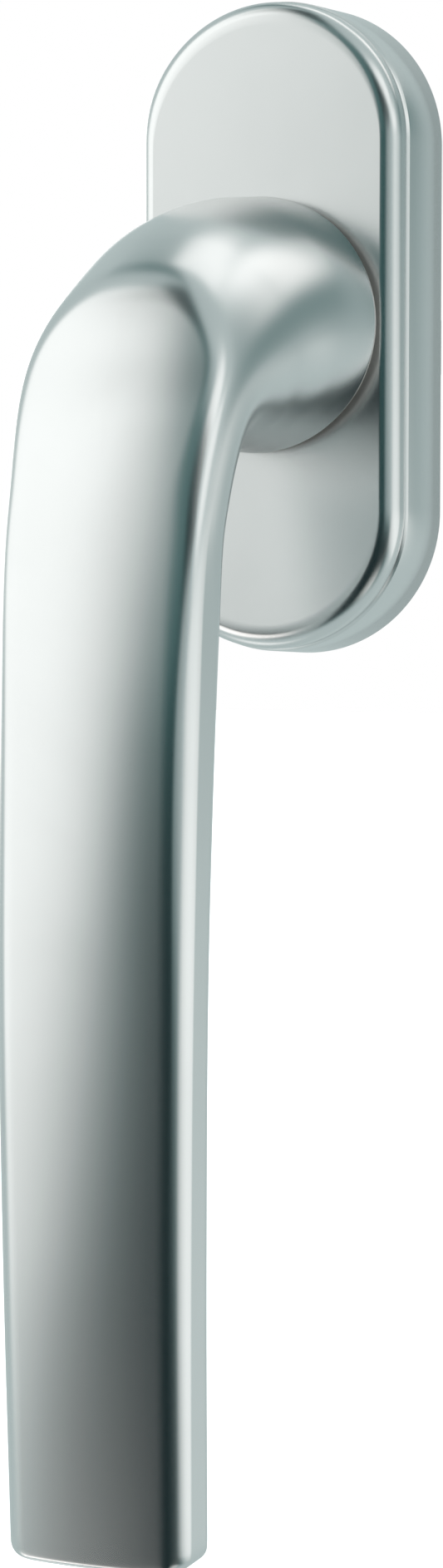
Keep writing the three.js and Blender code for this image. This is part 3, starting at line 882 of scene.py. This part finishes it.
# ------------------------------------------------------------------------------------ detent
@dataclass
class DetentUnit:
    """Balls that snap the handle into its quarters; springs, pot and rotor show as packed."""

    ball_rows: int = 33
    ball_sides: int = 64

    def ball_rings(self, node: str) -> Array:
        """Sphere: rings at latitude p have radius r cos p and lie r sin p above the middle."""
        low, high = box_mm(node)
        middle, radius = (low + high) / 2, (high[2] - low[2]) / 2
        latitude = np.linspace(-np.pi / 2, np.pi / 2, self.ball_rows)[1:-1]
        profile = np.stack([radius * np.cos(latitude), middle[1] + radius * np.sin(latitude)], -1)
        return turned(profile, centre=(0.0, middle[2]), sides=self.ball_sides)

    def build(self) -> None:
        """Builds the balls and dresses the parts kept from the frame."""
        for side in ("upper", "lower"):
            ball = skin(f"{side}_ball_ground", self.ball_rings(f"{side}_detent_ball"))
            adopt(ball, Slot.SPRING, f"{side}_detent_ball", f"{side}_ball")
            keep(f"{side}_detent_spring", Slot.SPRING)
        keep("detent_housing", Slot.ZINC)
        for node in ("index_rotor", "thrust_washer"):
            keep(node, Slot.PLATED)
        for node in ("retaining_ring", "wave_washer"):
            keep(node, Slot.SPRING)


# ------------------------------------------------------------------------------------ fixings
@dataclass
class SashFixing:
    """What holds the handle to the sash: plate, lugs, threaded screws, rivets and snap blocks."""

    body: str = "rosette_base"
    screw_radius: float = 2.5
    thread_depth: float = 0.42
    pitch: float = 0.8
    plain_shank: float = 5.0
    head_radius: float = 4.6
    head_depth: float = 2.1
    recess_half: float = 2.2
    recess_slot: float = 0.45
    recess_depth: float = 1.5
    recess_steps: tuple[Pair, ...] = ((0.1, -0.2), (0.75, 0.0), (0.9, 0.3))
    flank_slope: float = 4.2
    crest_level: float = 1.7
    thread_run_in: float = 1.2
    thread_run_out: float = 0.8
    point: float = 0.8
    rings_per_turn: int = 12
    lug_bore: float = 2.8
    lug_flange: float = 1.7
    lug_sink: float = 4.85
    lug_sink_depth: float = 2.1
    sleeve_radius: float = 5.0
    sleeve_lead: float = 0.5
    rivet_radius: float = 1.0
    rivet_head: float = 1.7
    rivet_head_depth: float = 0.6

    def screw_rings(self, node: str) -> Array:
        """Countersunk screw with a real thread and a cross recess.

        Below the head every ring is polar about the screw's axis. On the thread the radius is the
        outer one less the depth times a trapezium wave of (distance / pitch + angle / full turn);
        the depth fades in after the plain shank and out at the tip. The recess rings follow a
        plus sign: the farther of two crossed bars along each ray.
        """
        low, high = box_mm(node)
        top, tip = low[1], high[1]
        centre = (low + high)[[0, 2]] / 2
        angle = np.linspace(0, 2 * np.pi, 72, endpoint=False)
        shank = top + self.head_depth
        y = np.arange(shank + 0.1, tip - 0.05, self.pitch / self.rings_per_turn)[:, None]
        phase = (y / self.pitch + angle / (2 * np.pi)) % 1.0
        wave = np.clip(self.crest_level - self.flank_slope * np.abs(phase - 0.5), 0, 1)
        run_in = np.clip((y - shank - self.plain_shank) / self.thread_run_in, 0, 1)
        run_out = np.clip((tip - 0.3 - y) / self.thread_run_out, 0, 1)
        point = np.clip(y - (tip - self.point), 0, self.point)
        thread = self.screw_radius - self.thread_depth * run_in * run_out * wave - point
        bars = [(self.recess_half, self.recess_slot), (self.recess_slot, self.recess_half)]
        cos, sin = np.maximum(np.abs(np.cos(angle)), 1e-9), np.maximum(np.abs(np.sin(angle)), 1e-9)
        plus = np.max([np.minimum(a / cos, b / sin) for a, b in bars], axis=0)
        floor, full = top + self.recess_depth, np.ones_like(angle)
        rings = [(share * plus, floor - rise) for share, rise in self.recess_steps]
        rings += [(plus, top + 0.08), (plus + 0.12, top), (full * 3.6, top)]
        rings += [(full * (self.head_radius - 0.15), top), (full * self.head_radius, top + 0.15)]
        rings += [(full * self.screw_radius, shank)]
        radius = np.vstack([np.array([r for r, _ in rings]), thread])
        height = np.concatenate([[h for _, h in rings], y[:, 0]])[:, None]
        x, z = centre[0] + radius * np.cos(angle), centre[1] + radius * np.sin(angle)
        return np.stack([x, np.broadcast_to(height, x.shape), z], axis=-1) * MM

    def lug_profile(self, node: str) -> Array:
        """Section of a lug: flange with a countersink in front, sleeve with a lead-in behind."""
        low, high = box_mm(node)
        flange, sleeve, lead = (high[0] - low[0]) / 2, self.sleeve_radius, self.sleeve_lead
        front, end = low[1], high[1]
        corners = [
            (self.lug_bore, front + self.lug_sink_depth, 0.1), (self.lug_sink, front, 0.15),
            (flange, front, 0.3), (flange, front + self.lug_flange, 0.2),
            (sleeve, front + self.lug_flange, 0.1), (sleeve, end - lead, 0.2),
            (sleeve - lead, end, 0.2), (self.lug_bore, end, 0.2),
        ]
        return filleted(corners, closed=True)

    def rivet_profile(self, node: str) -> Array:
        """Section of a countersunk rivet, its head slightly domed at the sash side."""
        low, high = box_mm(node)
        tip, back = low[1], high[1]
        shank, head, neck = self.rivet_radius, self.rivet_head, back - self.rivet_head_depth
        corners = [
            (0.02, tip, 0), (shank, tip, 0.25), (shank, neck, 0.1), (head, back - 0.02, 0.05),
            (head - 0.5, back, 0.3), (0.02, back, 0),
        ]
        return filleted(corners, closed=False)

    def build(self) -> None:
        """Builds screws, lugs and rivets, and dresses the plate and the snap blocks."""
        for side in ("upper", "lower"):
            screw = skin(f"{side}_screw_threaded", self.screw_rings(f"{side}_fixing_screw"))
            adopt(screw, Slot.PLATED, f"{side}_fixing_screw", self.body)
            node = f"{side}_locating_lug"
            low, high = box_mm(node)
            rings = turned(self.lug_profile(node), centre=(0.0, (low[2] + high[2]) / 2))
            adopt(skin(f"{side}_lug_casting", rings, endless=True), Slot.ZINC, node, self.body)
            keep(f"{side}_snap_block", Slot.NYLON)
        for number in range(1, 5):
            node = f"housing_rivet_{number}"
            low, high = box_mm(node)
            centre = ((low[0] + high[0]) / 2, (low[2] + high[2]) / 2)
            rivet = skin(f"rivet_{number}_set", turned(self.rivet_profile(node), centre, sides=48))
            adopt(rivet, Slot.PLATED, node, self.body)
        keep("base_plate", Slot.PLATED)


# ------------------------------------------------------------------------------------ studio
@dataclass(frozen=True)
class Panel:
    """Soft light panel or dark flag round the set, placed by direction.

    Azimuth 0 is -Y and 90 is +X, in degrees. The outline is the curve where the sum of the two
    offsets over their half sizes, each to the power, is 1: 2 gives an oval, 8 nearly a box. The
    edge fades over the share soft of the size. A negative radiance is a black cloth, which takes
    light away.
    """

    azimuth: float
    elevation: float
    half_azimuth: float
    half_elevation: float
    power: float
    soft: float
    radiance: float


@dataclass
class Studio:
    """Camera, pale floor and the soft surround: a cool ambient, warm lamps and black cloths.

    Angles are in degrees, the distance in millimetres, and light is per colour channel.
    """

    azimuth: float = 21.93
    elevation: float = -3.403
    distance: float = 394.3
    pan: float = -1.358
    tilt: float = -6.990
    lens: float = 84.455
    ambient: Colour = (0.53, 0.62, 0.62)
    lamp_tint: Colour = (1.08, 1.0, 0.98)
    darkest: Colour = (0.002, 0.014, 0.017)
    floor_drop: float = 60.0
    floor_glow: float = 0.75
    panels: tuple[Panel, ...] = (
        Panel(-47.5, 26, 37, 42.5, 2, 0.08, 0.72),  # big box on the left
        Panel(-134, 5, 32, 8, 2, 0.15, 1.6),        # rim light behind on the left
        Panel(-99, -68, 19, 17, 2, 0.5, 0.68),      # bounce from the ground on the left
        Panel(-36, -36, 30, 10.5, 2.2, 0.1, 1.6),   # low fill in front
        Panel(21, -31.5, 69, 26.5, 2, 0.5, -1.06),  # black flag in front
        Panel(113, -9, 37, 12.5, 3.5, 0.1, 0.56),   # long strip on the right
        Panel(88.5, 15.5, 16, 7, 4, 0.12, 0.64),    # short strip above it
        Panel(148.5, 42, 11, 17.5, 4, 0.37, 1.07),  # rim light above on the right
        Panel(180, 64, 37, 6.5, 2, 0.4, 0.97),      # strip above, behind
        Panel(-128, 75, 18, 22, 2, 0.5, -0.48),     # gap in the ceiling
        Panel(144, 22, 19, 22.5, 3.5, 0.7, -0.36),  # gap behind on the right
        Panel(63, -42, 22.5, 9, 3.3, 0.3, 0.88),    # low fill on the right
        Panel(-21.5, 70, 33, 19.5, 5.5, 0.45, -0.7),  # black cloth overhead
        Panel(6, 21, 29.5, 26.5, 7, 0.27, -0.45),   # black cloth from the ceiling to the front flag
        Panel(40.5, 22, 21, 10.5, 3, 0.08, -0.82),  # its lower end on the right
        Panel(67, 35, 23, 12, 3.3, 0.22, 0.66),     # box on the right, high
    )

    def camera(self) -> None:
        """Camera on a sphere about the spindle axis, turned off the origin by pan and tilt."""
        a, e = math.radians(self.azimuth), math.radians(self.elevation)
        outward = Vector((math.sin(a) * math.cos(e), -math.cos(a) * math.cos(e), math.sin(e)))
        ahead = -outward
        right = ahead.cross(Vector((0, 0, 1))).normalized()
        up = right.cross(ahead)
        pan, tilt = math.radians(self.pan), math.radians(self.tilt)
        level = ahead * math.cos(pan) + right * math.sin(pan)
        right = right * math.cos(pan) - ahead * math.sin(pan)
        ahead = level * math.cos(tilt) + up * math.sin(tilt)
        up = up * math.cos(tilt) - level * math.sin(tilt)
        lens = bpy.data.cameras.new("view_camera")
        lens.lens, lens.sensor_width = self.lens, 36.0
        lens.clip_start, lens.clip_end = 0.01, 20.0
        camera = bpy.data.objects.new("view_camera", lens)
        place = Matrix((right, up, -ahead)).transposed().to_4x4()
        place.translation = outward * self.distance * MM
        camera.matrix_world = place
        bpy.context.scene.collection.objects.link(camera)
        bpy.context.scene.camera = camera

    def panel_group(self) -> NodeTree:
        """Group that gives a panel's light in a direction.

        With d and e the offsets over the half sizes, the distance is (d^p + e^p)^(1/p); the light
        is full up to 1 - soft, gone from 1 + soft on, and smooth between.
        """
        names = ["Azimuth", "Elevation", "At azimuth", "At elevation", "Half azimuth", "Half elevation"]
        names += ["Power", "Soft", "Radiance"]
        tree = bpy.data.node_groups.new("light panel", "ShaderNodeTree")
        for name in names:
            tree.interface.new_socket(name, in_out="INPUT", socket_type="NodeSocketFloat")
        tree.interface.new_socket("Light", in_out="OUTPUT", socket_type="NodeSocketFloat")
        source, target = tree.nodes.new("NodeGroupInput"), tree.nodes.new("NodeGroupOutput")
        wire = Wiring(tree)
        get = source.outputs
        apart = wire.math("SUBTRACT", get["Azimuth"], get["At azimuth"])
        apart = wire.math("WRAP", apart, 180.0, -180.0)
        over = wire.math("SUBTRACT", get["Elevation"], get["At elevation"])
        powers = []
        for offset, half in ((apart, "Half azimuth"), (over, "Half elevation")):
            share = wire.math("DIVIDE", wire.math("ABSOLUTE", offset), get[half])
            powers.append(wire.math("POWER", share, get["Power"]))
        distance = wire.math("POWER", wire.math("ADD", *powers), wire.math("DIVIDE", 1.0, get["Power"]))
        beyond = wire.math("DIVIDE", wire.math("SUBTRACT", distance, 1.0), get["Soft"])
        light = wire.math("MULTIPLY", get["Radiance"], wire.ramp(beyond, 1.0, -1.0))
        tree.links.new(light, target.inputs["Light"])
        return tree

    def surround(self) -> None:
        """World: a white backdrop to the camera, and the panels over a cool ambient for the rest."""
        world = bpy.data.worlds.new("studio")
        bpy.context.scene.world = world
        world.use_nodes = True
        world.node_tree.nodes.clear()
        wire = Wiring(world.node_tree)
        direction = wire.add("ShaderNodeTexCoord").outputs["Generated"]
        parts = wire.add("ShaderNodeSeparateXYZ", Vector=direction).outputs
        azimuth = wire.math("ARCTAN2", parts["X"], wire.math("MULTIPLY", parts["Y"], -1.0))
        azimuth = wire.math("DEGREES", azimuth)
        elevation = wire.math("DEGREES", wire.math("ARCSINE", parts["Z"]))
        group = self.panel_group()
        lamps, cloths = 0.0, 0.0
        for panel in self.panels:
            node = wire.add(
                "ShaderNodeGroup", {"node_tree": group}, Azimuth=azimuth, Elevation=elevation,
                At_azimuth=panel.azimuth, At_elevation=panel.elevation, Half_azimuth=panel.half_azimuth,
                Half_elevation=panel.half_elevation, Power=panel.power, Soft=panel.soft,
                Radiance=panel.radiance,
            )
            if panel.radiance > 0:
                lamps = wire.math("ADD", lamps, node.outputs[0])
            else:
                cloths = wire.math("ADD", cloths, node.outputs[0])
        settings = {"operation": "MULTIPLY_ADD"}
        tinted = wire.add(
            "ShaderNodeVectorMath", settings, i0=lamps, i1=self.lamp_tint, i2=self.ambient
        )
        settings = {"operation": "ADD"}
        covered = wire.add("ShaderNodeVectorMath", settings, i0=tinted.outputs[0], i1=cloths)
        settings = {"operation": "MAXIMUM"}
        light = wire.add("ShaderNodeVectorMath", settings, i0=covered.outputs[0], i1=self.darkest)
        seen = wire.add("ShaderNodeLightPath").outputs["Is Camera Ray"]
        lit = wire.add("ShaderNodeBackground", Color=light.outputs[0])
        backdrop = wire.add("ShaderNodeBackground", Color=(1, 1, 1, 1))
        mixed = wire.add("ShaderNodeMixShader", i0=seen, i1=lit.outputs[0], i2=backdrop.outputs[0])
        wire.add("ShaderNodeOutputWorld", Surface=mixed.outputs[0])

    def floor(self) -> None:
        """Pale floor under and behind the handle; the handle itself mirrors only the panels."""
        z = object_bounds()[0][2] - self.floor_drop * MM
        corners = [(-1.5, -0.1, z), (1.5, -0.1, z), (1.5, 3.0, z), (-1.5, 3.0, z)]
        mesh = bpy.data.meshes.new("floor")
        mesh.from_pydata(corners, [], [(0, 1, 2, 3)])
        floor = bpy.data.objects.new("floor", mesh)
        bpy.context.scene.collection.objects.link(floor)
        pale = bpy.data.materials.new("pale_floor")
        pale.use_nodes = True
        pale.node_tree.nodes.clear()
        wire = Wiring(pale.node_tree)
        paint = wire.add(
            "ShaderNodeBsdfPrincipled", Base_Color=(0.9, 0.9, 0.9, 1), Roughness=0.9,
            Emission_Color=(1, 1, 1, 1), Emission_Strength=self.floor_glow,
        )
        clear = wire.add("ShaderNodeBsdfTransparent")
        seen = wire.add("ShaderNodeLightPath").outputs["Is Camera Ray"]
        mixed = wire.add("ShaderNodeMixShader", i0=seen, i1=clear.outputs[0], i2=paint.outputs[0])
        wire.add("ShaderNodeOutputMaterial", Surface=mixed.outputs[0])
        mesh.materials.append(pale)
        floor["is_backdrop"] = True

    def build(self) -> None:
        """Sets the whole studio."""
        bpy.context.scene.view_settings.view_transform = "Standard"
        self.camera()
        self.surround()
        self.floor()
        log.info("studio set with %d light panels", len(self.panels))


def main() -> None:
    """Builds every sub-assembly in order and reports it."""
    logging.basicConfig(level=logging.INFO, format="%(name)s: %(message)s")
    kinds = (GripCasting, RosetteCover, NeckBearing, SpindleBar, DetentUnit, SashFixing, Studio)
    for kind in kinds:
        kind().build()
        log.info("%s done", kind.__name__)


if __name__ == "__main__":
    main()
